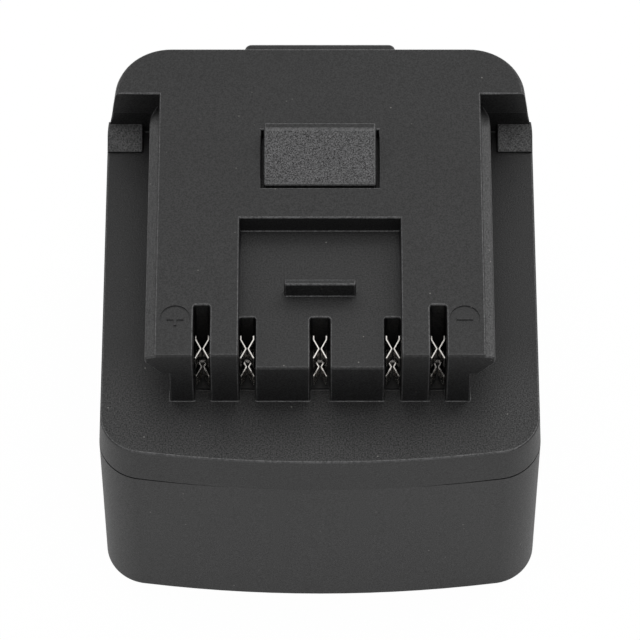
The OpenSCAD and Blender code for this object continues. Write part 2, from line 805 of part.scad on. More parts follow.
// A tube of radius r round the points p, whose rings use the normals n
module tube(p, n, r, sides) {
    last = len(p) - 1;
    function heading(i) = p[min(i + 1, last)] - p[max(i - 1, 0)];
    function side_way(i) = let (c = cross(heading(i), n[i])) c / norm(c);
    ring_points = [
        for (i = [0 : last]) for (k = [0 : sides - 1])
            p[i] + r * (cos(360 * k / sides) * n[i] + sin(360 * k / sides) * side_way(i))
    ];
    skin = [
        for (i = [0 : last - 1]) for (k = [0 : sides - 1])
            let (a = i * sides + k, b = i * sides + (k + 1) % sides)
            each [[a, a + sides, b + sides], [a, b + sides, b]]
    ];
    cap_start = [for (k = [1 : sides - 2]) [0, k, k + 1]];
    cap_end = [for (k = [1 : sides - 2]) [last * sides, last * sides + k + 1, last * sides + k]];
    polyhedron(ring_points, concat(skin, cap_start, cap_end));
}

// A compression spring that stands on its seat at z = 0, with straight ends
module coil_spring() {
    start_way = [0, -1, 0];
    end_way = [-sin(coil_angle(spring_steps)), cos(coil_angle(spring_steps)), 0];
    tip = 2 * spring_wire_r;
    path = concat(
        [coil_points[0] + tip * start_way], coil_points, [coil_points[spring_steps] + tip * end_way]
    );
    radial = [for (i = [0 : spring_steps]) [cos(coil_angle(i)), sin(coil_angle(i)), 0]];
    tube(path, concat([radial[0]], radial, [radial[spring_steps]]), spring_wire_r, wire_sides);
}

module latch_spring(side) color(steel)
    translate([side * post_x, post_y, retainer_top]) coil_spring();

module latch_spring_left() latch_spring(-1);
module latch_spring_right() latch_spring(1);

// Contacts

// A strip of sheet seen from above, from a to b
module strip(a, b, t) {
    d = b - a;
    translate(a) rotate(atan2(d[1], d[0])) translate([0, -t / 2]) square([norm(d), t]);
    translate(b) circle(d = t, $fn = small_fn);
}

// One spring leaf: out of its leg, in to the pinch, and out again
module leaf() {
    pinch = [(pinch_gap + leaf_t) / 2, pinch_y];
    strip([leg_x, leg_y], pinch, leaf_t);
    strip(pinch, [leg_x, pinch_y - leaf_reach], leaf_t);
}

// A spring clip: two legs on a bridge, two pairs of leaves and a solder tail
module contact(x) color(silver) translate([x, 0, 0]) {
    translate([-contact_w / 2, bridge_y - bridge_t, carrier_top]) cube([contact_w, bridge_t, bridge_h]);
    translate([-tail_w / 2, bridge_y - bridge_t, tail_z])
        cube([tail_w, bridge_t, carrier_top - tail_z + bridge_h]);
    both_sides() translate([0, 0, carrier_top])
        linear_extrude(contact_top - carrier_top) strip([leg_x, tail_y], [leg_x, leg_y], leaf_t);
    for (tier = [0, 1]) both_sides() translate([0, 0, contact_top - tier * tier_pitch - leaf_h])
        linear_extrude(leaf_h) leaf();
}

module contact_positive() contact(slots[0][0]);
module contact_signal_left() contact(slots[1][0]);
module contact_centre() contact(slots[2][0]);
module contact_signal_right() contact(slots[3][0]);
module contact_negative() contact(slots[4][0]);

module contact_carrier() color(dark_grey) {
    half = inner_x - fit_gap;
    back = carrier_screw_y + boss_r + carrier_edge;
    difference() {
        translate([-half, inner_y0 + fit_gap, carrier_z0])
            cube([2 * half, back - inner_y0 - fit_gap, carrier_t]);
        for (s = slots)
            translate([s[0] - tail_w / 2 - metal_fit, bridge_y - bridge_t - metal_fit, carrier_z0 - over])
                cube([tail_w + 2 * metal_fit, bridge_t + 2 * metal_fit, carrier_t + 2 * over]);
        both_sides() translate([carrier_screw_x, carrier_screw_y, carrier_z0 - over])
            cylinder(h = carrier_t + 2 * over, r = small_screw_r + fit_gap);
    }
}

// Battery side

// A blade seen from the side: it lies in the bay and turns up through the block to the board
module blade_profile(gap) {
    translate([blade_y0 - gap, blade_z0 - gap])
        square([blade_y1 - blade_y0 + 2 * gap, blade_h + 2 * gap]);
    translate([blade_y0 - gap, blade_z1 - sink])
        square([blade_tail + 2 * gap, board_z1 + blade_stub - blade_z1 + sink]);
}

module blade(x, t, gap = 0) translate([x, 0, 0]) across(t + 2 * gap) blade_profile(gap);

module battery_terminal_block() color(dark_grey) difference() {
    union() {
        translate([-block_w / 2, block_y0, block_z0])
            cube([block_w, block_len, floor_z - block_z0 + sink]);
        translate([-block_w / 2 - block_flange, block_y0 - block_flange, floor_z])
            cube([block_w + 2 * block_flange, block_len + 2 * block_flange, block_flange_t]);
    }
    both_sides() {
        blade(blade_x, blade_t, metal_fit);
        blade(signal_blade_x, signal_blade_t, metal_fit);
    }
}

module battery_blade_positive() color(copper) blade(-blade_x, blade_t);
module battery_blade_negative() color(copper) blade(blade_x, blade_t);
module battery_signal_blades() color(copper) both_sides() blade(signal_blade_x, signal_blade_t);

// Electronics

module circuit_board() color(board_green) difference() {
    translate([-board_w / 2, board_y0, board_z0]) cube([board_w, board_len, board_t]);
    both_sides() {
        blade(blade_x, blade_t, metal_fit);
        blade(signal_blade_x, signal_blade_t, metal_fit);
        for (y = board_screw_y) translate([board_screw_x, y, board_z0 - over])
            cylinder(h = board_t + 2 * over, r = small_screw_r + fit_gap);
    }
}

module power_transistors() color(insulation_black) both_sides()
    translate([transistor_x - transistor_size[0] / 2, transistor_y - transistor_size[1] / 2, board_z1])
        cube(transistor_size);

// The groove near the can's foot: its height as a share of the can's, and its radius
groove_share = 0.2;
groove_r = 0.5;

module smoothing_capacitor() color(steel) translate([0, capacitor_y, board_z1]) difference() {
    cylinder(h = capacitor_h, r = capacitor_r);
    translate([0, 0, capacitor_h * groove_share]) rotate_extrude()
        translate([capacitor_r, 0]) circle(r = groove_r, $fn = small_fn);
}

module signal_header() color(insulation_black)
    translate([-header_size[0] / 2, header_y - header_size[1] / 2, board_z1]) cube(header_size);

// Steps and sides of a wire, and how far its ends run straight, as a share of its height
wire_steps = 16;
wire_facets = 8;
wire_straight = 0.6;

// Point at t of a smooth bend that leaves a upwards and enters b upwards
function bend_point(a, b, t) =
    let (lift = [0, 0, wire_straight * (b[2] - a[2])], u = 1 - t)
    u * u * u * a + 3 * u * u * t * (a + lift) + 3 * u * t * t * (b - lift) + t * t * t * b;

// A wire that rises from a to b inside the housing
module wire(a, b, r) {
    path = [for (i = [0 : wire_steps]) bend_point(a, b, i / wire_steps)];
    function heading(i) = path[min(i + 1, wire_steps)] - path[max(i - 1, 0)];
    function across_way(i) = let (c = cross([0, 1, 0], heading(i))) c / norm(c);
    tube(path, [for (i = [0 : wire_steps]) across_way(i)], r, wire_facets);
}

module power_wire(side) wire(
    [side * power_pad_x, power_pad_y, board_z1], [side * outer_slot_x, tail_y, tail_z], power_wire_r
);

module signal_wire(place) wire(
    [place * header_pitch, header_y, board_z1 + header_size[2]],
    [place * inner_slot_x, tail_y, tail_z], signal_wire_r
);

module wire_positive() color(red) power_wire(-1);
module wire_negative() color(insulation_black) power_wire(1);
module wire_signal_left() color(yellow) signal_wire(-1);
module wire_signal_centre() color(yellow) signal_wire(0);
module wire_signal_right() color(yellow) signal_wire(1);

// Screws

module case_screws() color(steel) both_sides() for (y = case_screw_y)
    translate([case_screw_x, y, 0])
        screw(case_seat_z, case_screw_r, case_head_r, case_head_h, case_screw_z1 - case_seat_z);

module carrier_screws() color(steel) both_sides() translate([carrier_screw_x, carrier_screw_y, 0])
    screw(carrier_z0, small_screw_r, small_head_r, small_head_h, carrier_t + small_thread);

module retainer_screws() color(steel) both_sides() translate([retainer_screw_x, post_y, 0])
    screw(retainer_z0, small_screw_r, small_head_r, small_head_h, retainer_t + small_thread);

// The board's screws point down into their posts
module board_screws() color(steel) both_sides() for (y = board_screw_y)
    translate([board_screw_x, y, board_z1]) mirror([0, 0, 1])
        screw(0, small_screw_r, small_head_r, small_head_h, board_t + board_post_h);

upper_shell();
lower_housing();
release_latch();
latch_retainer();
latch_spring_left();
latch_spring_right();
contact_positive();
contact_signal_left();
contact_centre();
contact_signal_right();
contact_negative();
contact_carrier();
battery_terminal_block();
battery_blade_positive();
battery_blade_negative();
battery_signal_blades();
circuit_board();
power_transistors();
smoothing_capacitor();
signal_header();
wire_positive();
wire_negative();
wire_signal_left();
wire_signal_centre();
wire_signal_right();
case_screws();
carrier_screws();
retainer_screws();
board_screws();
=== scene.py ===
# %% [markdown]
# # A battery adapter for cordless tools
# The adapter is a matte black box of two mouldings. A tool slides onto the T-shaped platform on top, and a
# sprung wedge catches it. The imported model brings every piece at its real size, in metres, with the front
# towards -Y. This lesson gives the pieces their small roundings, their finishes and their light.

# %% Load the frame
import json
import math

import bmesh
import bpy
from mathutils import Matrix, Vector
from mathutils.bvhtree import BVHTree


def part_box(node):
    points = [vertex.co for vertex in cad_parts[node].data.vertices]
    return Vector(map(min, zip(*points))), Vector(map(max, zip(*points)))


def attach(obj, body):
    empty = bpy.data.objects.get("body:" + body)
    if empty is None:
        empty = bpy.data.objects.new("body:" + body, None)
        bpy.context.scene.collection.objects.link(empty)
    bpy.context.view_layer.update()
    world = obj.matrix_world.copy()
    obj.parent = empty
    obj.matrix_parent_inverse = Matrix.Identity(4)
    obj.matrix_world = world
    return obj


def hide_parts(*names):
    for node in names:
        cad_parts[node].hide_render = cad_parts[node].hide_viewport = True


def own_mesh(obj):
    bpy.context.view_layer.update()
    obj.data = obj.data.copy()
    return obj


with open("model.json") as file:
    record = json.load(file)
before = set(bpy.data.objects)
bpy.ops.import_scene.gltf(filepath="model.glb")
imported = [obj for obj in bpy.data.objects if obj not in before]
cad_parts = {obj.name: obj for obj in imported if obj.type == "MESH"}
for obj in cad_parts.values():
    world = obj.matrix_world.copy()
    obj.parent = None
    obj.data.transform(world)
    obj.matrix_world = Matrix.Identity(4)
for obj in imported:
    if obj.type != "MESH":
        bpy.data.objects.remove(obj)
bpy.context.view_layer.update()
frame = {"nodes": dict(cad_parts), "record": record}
MM = 0.001
print("nodes loaded:", len(frame["nodes"]))

# %% [markdown]
# ## Levels and places
# Everything below is placed from the loaded pieces, so a change of size in the model carries over. The seam
# and the top of the platform are read from the boxes of the two mouldings. The plate is the floor of the
# grooves that the tool's rails run in. The record gives the room in a groove and in the stepped pocket, and
# that room starts just above the floor.

# %% Read the main levels
GROOVE_CLEARANCE = 0.2 * MM
POCKET_CLEARANCE = 0.1 * MM
shell_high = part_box("upper_shell")[1]
housing_low, housing_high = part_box("lower_housing")
openings = frame["record"]["physics"]["openings"]
groove = next(o for o in openings if o["name"] == "tool_rail_groove_left")
pocket = next(o for o in openings if o["name"] == "key_pocket_back")
TOP_Z = shell_high.z
SEAM_Z = housing_high.z
PLATE_Z = groove["box_m"][0][2] - GROOVE_CLEARANCE
POCKET_Z = pocket["box_m"][0][2] - POCKET_CLEARANCE
FRONT_Y = housing_low.y
print("seam, plate and platform heights in mm:", [round(z / MM, 1) for z in (SEAM_Z, PLATE_Z, TOP_Z)])

# %% [markdown]
# ## The camera
# The photograph is taken from the front, 58 degrees above the table, with a long lens, so the sides hardly
# draw together. The lens is worked out from the number of pixels that a millimetre takes at the platform.

# %% Set up the camera
VIEW_ELEVATION = math.radians(58)
VIEW_DISTANCE = 820 * MM
FOCAL_PIXELS = 4765
FRAME_PIXELS = 640
SENSOR_WIDTH = 36
NEAREST_SEEN = 10 * MM
AIM_BEHIND_FRONT = 20.15 * MM

camera_data = bpy.data.cameras.new("camera")
camera_data.sensor_width = SENSOR_WIDTH
camera_data.sensor_fit = "HORIZONTAL"
camera_data.lens = SENSOR_WIDTH * FOCAL_PIXELS / FRAME_PIXELS
camera_data.clip_start = NEAREST_SEEN
camera = bpy.data.objects.new("camera", camera_data)
aim = Vector((0, FRONT_Y + AIM_BEHIND_FRONT, TOP_Z))
towards_camera = Vector((0, -math.cos(VIEW_ELEVATION), math.sin(VIEW_ELEVATION)))
camera.location = aim + VIEW_DISTANCE * towards_camera
camera.rotation_euler = (math.pi / 2 - VIEW_ELEVATION, 0, 0)
bpy.context.scene.collection.objects.link(camera)
bpy.context.scene.camera = camera
bpy.context.scene.view_settings.view_transform = "Standard"
print("lens in mm:", round(camera_data.lens, 1))

# %% [markdown]
# ## Floor and light
# Black plastic shows mostly what it mirrors. In the photograph the white table lights the front of the body
# from below. Here a wide soft lamp hangs above, and two more stand behind on the sides, the right one
# stronger. The walls that look at the dark plate stay dark. The world is plain white where the camera or a
# reflection looks. The floor glows about half as much for reflections as for the camera, and not at all for
# other light. The rest of it is plain white paper, which takes the faint shadow of the body.

# %% Helpers for nodes
def link(tree, out, into):
    tree.links.new(out, into)


def math_node(tree, operation, first, second):
    """A Math node on two values, each a socket or a number."""
    made = tree.nodes.new("ShaderNodeMath")
    made.operation = operation
    for socket, value in zip(made.inputs, (first, second)):
        if isinstance(value, (int, float)):
            socket.default_value = value
        else:
            link(tree, value, socket)
    return made.outputs["Value"]


def ramp_node(tree, value, low, high, out_low=0.0, out_high=1.0):
    """Maps a value from low..high to out_low..out_high, clamped."""
    made = tree.nodes.new("ShaderNodeMapRange")
    made.inputs["From Min"].default_value = low
    made.inputs["From Max"].default_value = high
    made.inputs["To Min"].default_value = out_low
    made.inputs["To Max"].default_value = out_high
    link(tree, value, made.inputs["Value"])
    return made.outputs["Result"]


# %% Helpers for the white ground
WHITE = (1, 1, 1, 1)


def seen_by_rays(tree):
    """A mask that is 1 where the camera, a reflection or a clear material looks."""
    path = tree.nodes.new("ShaderNodeLightPath")
    mask = path.outputs["Is Camera Ray"]
    for name in ("Is Glossy Ray", "Is Transmission Ray"):
        mask = math_node(tree, "MAXIMUM", mask, path.outputs[name])
    return mask


def show_mix(tree, mask, under, over, output):
    """Mixes two shaders by a mask and links them to a new output node."""
    mix = tree.nodes.new("ShaderNodeMixShader")
    link(tree, mask, mix.inputs["Fac"])
    link(tree, under, mix.inputs[1])
    link(tree, over, mix.inputs[2])
    surface = tree.nodes.new(output)
    link(tree, mix.outputs["Shader"], surface.inputs["Surface"])


# %% Make the floor
FLOOR_SEEN = 0.98
FLOOR_MIRRORED = 0.55
FLOOR_WHITE = 0.86
FLOOR_HALF_SIZE = 1.5
floor_material = bpy.data.materials.new("white_table")
floor_material.use_nodes = True
tree = floor_material.node_tree
tree.nodes.clear()
paper = tree.nodes.new("ShaderNodeBsdfDiffuse")
paper.inputs["Color"].default_value = (FLOOR_WHITE, FLOOR_WHITE, FLOOR_WHITE, 1)
glow = tree.nodes.new("ShaderNodeEmission")
glow.inputs["Color"].default_value = WHITE
path = tree.nodes.new("ShaderNodeLightPath")
share = ramp_node(tree, path.outputs["Is Camera Ray"], 0, 1, FLOOR_MIRRORED, FLOOR_SEEN)
only_seen = math_node(tree, "MULTIPLY", share, seen_by_rays(tree))
show_mix(tree, only_seen, paper.outputs["BSDF"], glow.outputs["Emission"], "ShaderNodeOutputMaterial")

floor_mesh = bpy.data.meshes.new("floor")
bm = bmesh.new()
bmesh.ops.create_grid(bm, x_segments=1, y_segments=1, size=FLOOR_HALF_SIZE)
bm.to_mesh(floor_mesh)
bm.free()
floor = bpy.data.objects.new("floor", floor_mesh)
floor.data.materials.append(floor_material)
bpy.context.scene.collection.objects.link(floor)
print("floor made:", floor.name)

# %% Set the world
WORLD_STRENGTH = 0.6
world = bpy.data.worlds.new("studio")
world.use_nodes = True
bpy.context.scene.world = world
tree = world.node_tree
tree.nodes.clear()
plain = tree.nodes.new("ShaderNodeBackground")
plain.inputs["Color"].default_value = WHITE
plain.inputs["Strength"].default_value = WORLD_STRENGTH
bright = tree.nodes.new("ShaderNodeBackground")
bright.inputs["Color"].default_value = WHITE
show_mix(
    tree, seen_by_rays(tree), plain.outputs["Background"], bright.outputs["Background"],
    "ShaderNodeOutputWorld",
)
print("world strength:", WORLD_STRENGTH)

# %% Hang the lamps
LAMPS = [
    # name, place in metres, size in metres, power in watts
    ("lamp_above", (0.03, -0.1, 1.2), 0.9, 6.5),
    ("lamp_right", (0.74, 0.64, 0.79), 0.5, 4.6),
    ("lamp_left", (-0.74, 0.64, 0.79), 0.5, 2.5),
]
for name, place, size, power in LAMPS:
    data = bpy.data.lights.new(name, "AREA")
    data.shape = "SQUARE"
    data.size = size
    data.energy = power
    lamp = bpy.data.objects.new(name, data)
    lamp.location = place
    towards_top = Vector((0, 0, TOP_Z)) - Vector(place)
    lamp.rotation_euler = towards_top.to_track_quat("-Z", "Y").to_euler()
    bpy.context.scene.collection.objects.link(lamp)
print("lamps:", [row[0] for row in LAMPS])

# %% [markdown]
# ## Shared effects
# The mouldings share three effects: a spark-eroded grain, a few specks of dust, and paler edges, a painted
# highlight along the roundings that also stands for worn spots where hands and tools rub. The metal pieces
# share fine streaks from rolling and drawing. Each effect is a group of shader nodes, built once and placed
# in each material with its own values. Painted textures would do the same, but they need unwrapped surfaces,
# and these patterns simply fill the space that the piece sits in.

# %% Helpers for groups and noise
NOISE_ROUGHNESS = 0.6


def new_group(name, inputs, outputs):
    """A shader node group with float sockets: inputs are (label, value) pairs, outputs are labels."""
    group = bpy.data.node_groups.new(name, "ShaderNodeTree")
    for label, value in inputs:
        socket = group.interface.new_socket(label, in_out="INPUT", socket_type="NodeSocketFloat")
        socket.default_value = value
    for label in outputs:
        group.interface.new_socket(label, in_out="OUTPUT", socket_type="NodeSocketFloat")
    return group, group.nodes.new("NodeGroupInput"), group.nodes.new("NodeGroupOutput")


def place_group(tree, group, **values):
    """Puts a group into a material; an underscore in a value's name stands for a space."""
    made = tree.nodes.new("ShaderNodeGroup")
    made.node_tree = group
    for label, value in values.items():
        made.inputs[label.replace("_", " ")].default_value = value
    return made.outputs


def noise_node(tree, detail, scale, vector):
    """A noise texture; scale is a socket or a number."""
    made = tree.nodes.new("ShaderNodeTexNoise")
    made.inputs["Detail"].default_value = detail
    made.inputs["Roughness"].default_value = NOISE_ROUGHNESS
    link(tree, vector, made.inputs["Vector"])
    if isinstance(scale, (int, float)):
        made.inputs["Scale"].default_value = scale
    else:
        link(tree, scale, made.inputs["Scale"])
    return made.outputs["Fac"]


# %% Group for the grain
GRAIN_DETAIL = 3
CLOUD_DETAIL = 2
CLOUDS_PER_METRE = 60
grain_group, into, out = new_group("moulded grain", [("Grains per metre", 3000)], ["Height", "Tone"])
place = grain_group.nodes.new("ShaderNodeTexCoord").outputs["Object"]
grains = noise_node(grain_group, GRAIN_DETAIL, into.outputs["Grains per metre"], place)
clouds = noise_node(grain_group, CLOUD_DETAIL, CLOUDS_PER_METRE, place)
link(grain_group, grains, out.inputs["Height"])
link(grain_group, clouds, out.inputs["Tone"])
print("group made:", grain_group.name)

# %% Group for the dust
# The radii of a speck are shares of the width of the cell that it sits in.
SPECK_CORE = 0.025
SPECK_RIM = 0.055
dust_group, into, out = new_group("dust specks", [("Specks per metre", 320), ("Share", 0.3)], ["Mask"])
place = dust_group.nodes.new("ShaderNodeTexCoord").outputs["Object"]
cells = dust_group.nodes.new("ShaderNodeTexVoronoi")
link(dust_group, place, cells.inputs["Vector"])
link(dust_group, into.outputs["Specks per metre"], cells.inputs["Scale"])
speck = ramp_node(dust_group, cells.outputs["Distance"], SPECK_CORE, SPECK_RIM, 1.0, 0.0)
split = dust_group.nodes.new("ShaderNodeSeparateColor")
link(dust_group, cells.outputs["Color"], split.inputs["Color"])
chosen = math_node(dust_group, "LESS_THAN", split.outputs["Red"], into.outputs["Share"])
link(dust_group, math_node(dust_group, "MULTIPLY", speck, chosen), out.inputs["Mask"])
print("group made:", dust_group.name)

# %% Group for the painted edge highlight and worn edges
PATCH_DETAIL = 3
PATCHES_PER_METRE = 1800
PATCH_RANGE = (0.4, 0.6)
LEAST_EDGE_HIGHLIGHT = 0.35
edge_highlight_group, into, out = new_group("painted edge highlight and worn edges", [("Amount", 1.0)], ["Mask"])
place = edge_highlight_group.nodes.new("ShaderNodeTexCoord").outputs["Object"]
rounded = edge_highlight_group.nodes.new("ShaderNodeAttribute")
rounded.attribute_name = "highlit_and_worn"
spots = noise_node(edge_highlight_group, PATCH_DETAIL, PATCHES_PER_METRE, place)
patches = ramp_node(edge_highlight_group, spots, *PATCH_RANGE, LEAST_EDGE_HIGHLIGHT, 1.0)
highlit_and_worn = math_node(edge_highlight_group, "MULTIPLY", rounded.outputs["Fac"], patches)
link(edge_highlight_group, math_node(edge_highlight_group, "MULTIPLY", highlit_and_worn, into.outputs["Amount"]), out.inputs["Mask"])
print("group made:", edge_highlight_group.name)

# %% Group for the streaks of sheet and wire
STREAK_DETAIL = 2
STREAK_SQUEEZE = (1, 0.06, 1)
TARNISH_DETAIL = 3
TARNISH_PER_METRE = 400
streak_group, into, out = new_group("drawn streaks", [("Streaks per metre", 9000)], ["Height", "Tone"])
place = streak_group.nodes.new("ShaderNodeTexCoord").outputs["Object"]
stretch = streak_group.nodes.new("ShaderNodeMapping")
stretch.inputs["Scale"].default_value = STREAK_SQUEEZE
link(streak_group, place, stretch.inputs["Vector"])
lines = noise_node(streak_group, STREAK_DETAIL, into.outputs["Streaks per metre"], stretch.outputs["Vector"])
tarnish = noise_node(streak_group, TARNISH_DETAIL, TARNISH_PER_METRE, place)
link(streak_group, lines, out.inputs["Height"])
link(streak_group, tarnish, out.inputs["Tone"])
print("group made:", streak_group.name)

# %% [markdown]
# ## The black resin
# All the mouldings are one black resin that hardly scatters light, so its look comes from its gloss: broad,
# dull reflections that fade where the plate and the walls shade each other. The grain is shallow on the
# platform and the housing, deeper on the plate, and deepest on the ramps and on the latch's slope, where a
# thumb finds it. It goes into the bump, the tone and the roughness. The tops of the grain also shine more
# than its valleys. A clear coat whose weight follows the grain gives that, and on the plate it fades along
# the sides, where the photograph shows less grain.

# %% Helpers for materials
def new_material(name):
    material = bpy.data.materials.new(name)
    material.use_nodes = True
    return material, material.node_tree, material.node_tree.nodes["Principled BSDF"]


def mix_colour(tree, mask, under, over):
    """Mixes two colours by a mask; each colour is a socket or four numbers."""
    made = tree.nodes.new("ShaderNodeMix")
    made.data_type = "RGBA"
    link(tree, mask, made.inputs["Factor"])
    for socket, colour in (("A", under), ("B", over)):
        if isinstance(colour, tuple):
            made.inputs[socket].default_value = colour
        else:
            link(tree, colour, made.inputs[socket])
    return made.outputs["Result"]


def shaded_colour(tree, colour, shade):
    """A colour of three numbers, times a value that changes over the surface."""
    made = tree.nodes.new("ShaderNodeVectorMath")
    made.operation = "SCALE"
    made.inputs[0].default_value = colour
    link(tree, shade, made.inputs["Scale"])
    return made.outputs["Vector"]


def add_bump(tree, shader, height, depth):
    bump = tree.nodes.new("ShaderNodeBump")
    bump.inputs["Strength"].default_value = 1
    bump.inputs["Distance"].default_value = depth
    link(tree, height, bump.inputs["Height"])
    link(tree, bump.outputs["Normal"], shader.inputs["Normal"])


# %% The shine on the tops of the grain
GRAIN_RANGE = (0.35, 0.65)
GRAIN_FULL = 12 * MM
GRAIN_FADED = 24 * MM
GRAIN_LEFT = 0.25
SHINE_LEFT = 0.5


def faded_behind(tree, left):
    """1 before the platform's front, fading to what is left of it along the sides."""
    place = tree.nodes.new("ShaderNodeTexCoord")
    split = tree.nodes.new("ShaderNodeSeparateXYZ")
    link(tree, place.outputs["Object"], split.inputs["Vector"])
    return ramp_node(tree, split.outputs["Y"], FRONT_Y + GRAIN_FULL, FRONT_Y + GRAIN_FADED, 1.0, left)


def add_glint(tree, shader, height, glint, smooth_sides):
    """A clear coat that weighs glint on the tops of the grain and nothing in its valleys."""
    shine = ramp_node(tree, height, *GRAIN_RANGE, -glint / 2, glint / 2)
    if smooth_sides:
        shine = math_node(tree, "MULTIPLY", shine, faded_behind(tree, GRAIN_LEFT))
    shine = math_node(tree, "ADD", shine, glint / 2)
    if smooth_sides:
        shine = math_node(tree, "MULTIPLY", shine, faded_behind(tree, SHINE_LEFT))
    link(tree, shine, shader.inputs["Coat Weight"])


# %% The resin of one region
RESIN = (0.005, 0.005, 0.0052)
RESIN_GLOSS = 0.42
DUST = (0.12, 0.115, 0.11, 1)
# The paler colour of the rounded edges: a painted highlight that also stands for worn edges.
WORN_EDGE_HIGHLIGHT = (0.055, 0.055, 0.056, 1)
SOFT_NOISE = (0.3, 0.7)
CLOUD_TONE = (0.8, 1.2)
DULLNESS_SWING = 0.06


def black_resin(
    name, roughness, grains, depth, tone, contrast,
    gloss=RESIN_GLOSS, glint=0.0, dust=0.5, worn_edge_highlight=1.0, smooth_sides=False,
):
    """Moulded resin: grains per metre, depth of the grain in metres, tone times the resin's own black.
    glint is how much more the tops of the grain shine than their valleys; smooth_sides fades it out behind
    the platform's front."""
    material, tree, shader = new_material(name)
    shader.inputs["Specular IOR Level"].default_value = gloss
    shader.inputs["Coat Roughness"].default_value = roughness
    grain = place_group(tree, grain_group, Grains_per_metre=grains)
    specks = place_group(tree, dust_group, Share=dust)
    highlit_and_worn = place_group(tree, edge_highlight_group, Amount=worn_edge_highlight)
    broad = ramp_node(tree, grain["Tone"], *SOFT_NOISE, *CLOUD_TONE)
    fine = ramp_node(tree, grain["Height"], *GRAIN_RANGE, 1 - contrast, 1 + contrast)
    base = tuple(tone * part for part in RESIN)
    colour = shaded_colour(tree, base, math_node(tree, "MULTIPLY", broad, fine))
    # Painted highlight on the rounded edges, also standing for worn edges.
    colour = mix_colour(tree, highlit_and_worn["Mask"], colour, WORN_EDGE_HIGHLIGHT)
    colour = mix_colour(tree, specks["Mask"], colour, DUST)
    link(tree, colour, shader.inputs["Base Color"])
    dullest = roughness + DULLNESS_SWING
    glossiest = roughness - DULLNESS_SWING
    dullness = ramp_node(tree, grain["Height"], *GRAIN_RANGE, dullest, glossiest)
    link(tree, dullness, shader.inputs["Roughness"])
    if glint:
        add_glint(tree, shader, grain["Height"], glint, smooth_sides)
    add_bump(tree, shader, grain["Height"], depth)
    return material


# %% The six resins
platform_resin = black_resin(
    "platform_resin", roughness=0.44, grains=3600, depth=0.04 * MM,
    tone=0.9, contrast=0.9, gloss=0.31, glint=0.24,
)
plate_resin = black_resin(
    "plate_resin", roughness=0.42, grains=3800, depth=0.07 * MM,
    tone=0.9, contrast=0.95, gloss=0.25, glint=0.78, smooth_sides=True,
)
ramp_resin = black_resin(
    "ramp_resin", roughness=0.45, grains=3800, depth=0.10 * MM,
    tone=1.6, contrast=1.0, gloss=0.23, glint=0.55,
)
housing_resin = black_resin(
    "housing_resin", roughness=0.5, grains=4000, depth=0.04 * MM,
    tone=0.9, contrast=0.9,
)
slope_resin = black_resin(
    "slope_resin", roughness=0.42, grains=4200, depth=0.12 * MM,
    tone=4.2, contrast=1.0, gloss=0.2, glint=0.75, dust=0.1,
)
inner_resin = black_resin(
    "inner_resin", roughness=0.5, grains=2500, depth=0.03 * MM,
    tone=1.0, contrast=0.4, dust=0.0, worn_edge_highlight=0.0,
)
print("resins made: 6")

# %% [markdown]
# ## Rounded edges of the mouldings
# A moulded edge is hardly ever sharp: most have a radius of a few tenths of a millimetre that catches the
# light as a thin bright line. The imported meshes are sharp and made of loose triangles, so each moulding is
# copied, its doubles are merged and its flat triangles joined, and then its edges are bevelled. A bevel
# modifier would round the hidden screw bosses and the faint polarity marks as well. Here only the edges that
# open air reaches are taken. An edge beside a face that is narrower than the rounding stays sharp, and so do
# the edges at the seam, where the two mouldings meet.

# %% Copy a node
MERGE_WITHIN = 0.001 * MM
FLAT_WITHIN = math.radians(0.4)


def merged_copy(node):
    """A bmesh of a node with its doubles merged and its flat triangles joined."""
    bm = bmesh.new()
    bm.from_mesh(frame["nodes"][node].data)
    # This layer marks where the painted edge highlight goes.
    bm.faces.layers.float.new("highlit_and_worn")
    bmesh.ops.remove_doubles(bm, verts=bm.verts, dist=MERGE_WITHIN)
    bmesh.ops.dissolve_limit(bm, angle_limit=FLAT_WITHIN, verts=bm.verts, edges=bm.edges)
    bm.normal_update()
    return bm


# %% Choose the edges
OFF_SURFACE = 0.02 * MM
SIDES = (-1, 0, 1)
WAYS = [
    Vector((x, y, z)).normalized()
    for x in SIDES for y in SIDES for z in SIDES
    if (x, y, z) != (0, 0, 0)
]


def middle_of(edge):
    return (edge.verts[0].co + edge.verts[1].co) / 2


def in_open_air(solid, edge):
    """True where a straight line leads from the edge to the outside."""
    outwards = (edge.link_faces[0].normal + edge.link_faces[1].normal).normalized()
    start = middle_of(edge) + outwards * OFF_SURFACE
    return any(solid.ray_cast(start, way)[0] is None for way in WAYS)


def reach(face, edge):
    """How far a face reaches from one of its edges."""
    start = edge.verts[0].co
    way = (edge.verts[1].co - start).normalized()
    return max((v.co - start - way * (v.co - start).dot(way)).length for v in face.verts)


# %% Round the edges
ROUNDING_STEPS = 3
ROOM_IN_RADII = 2.2
SIDEWAYS = 0.3
SIDE_HIGHLIGHT = 0.15


def round_edges(bm, radius, wanted, segments=ROUNDING_STEPS):
    """Bevels the edges that wanted(angle in degrees, middle) picks, and marks the new faces for the painted
    edge highlight, which also stands for worn edges. Faces that look sideways get less of this painted
    highlight."""
    solid = BVHTree.FromBMesh(bm)
    edges = []
    for edge in bm.edges:
        if not wanted(math.degrees(edge.calc_face_angle_signed(0)), middle_of(edge)):
            continue
        room = min(reach(face, edge) for face in edge.link_faces)
        if room > ROOM_IN_RADII * radius and in_open_air(solid, edge):
            edges.append(edge)
    made = bmesh.ops.bevel(
        bm, geom=edges, offset=radius, offset_type="OFFSET", affect="EDGES",
        segments=segments, profile=0.5, material=-1, clamp_overlap=False,
    )
    bm.normal_update()
    # The roundings get the painted edge highlight; faces that look sideways get less of it.
    for face in made["faces"]:
        sideways = abs(face.normal.x) > SIDEWAYS
        face[bm.faces.layers.float["highlit_and_worn"]] = SIDE_HIGHLIGHT if sideways else 1
    return len(edges)


# %% Make a piece of the copy
SMOOTH_BELOW = math.radians(34)


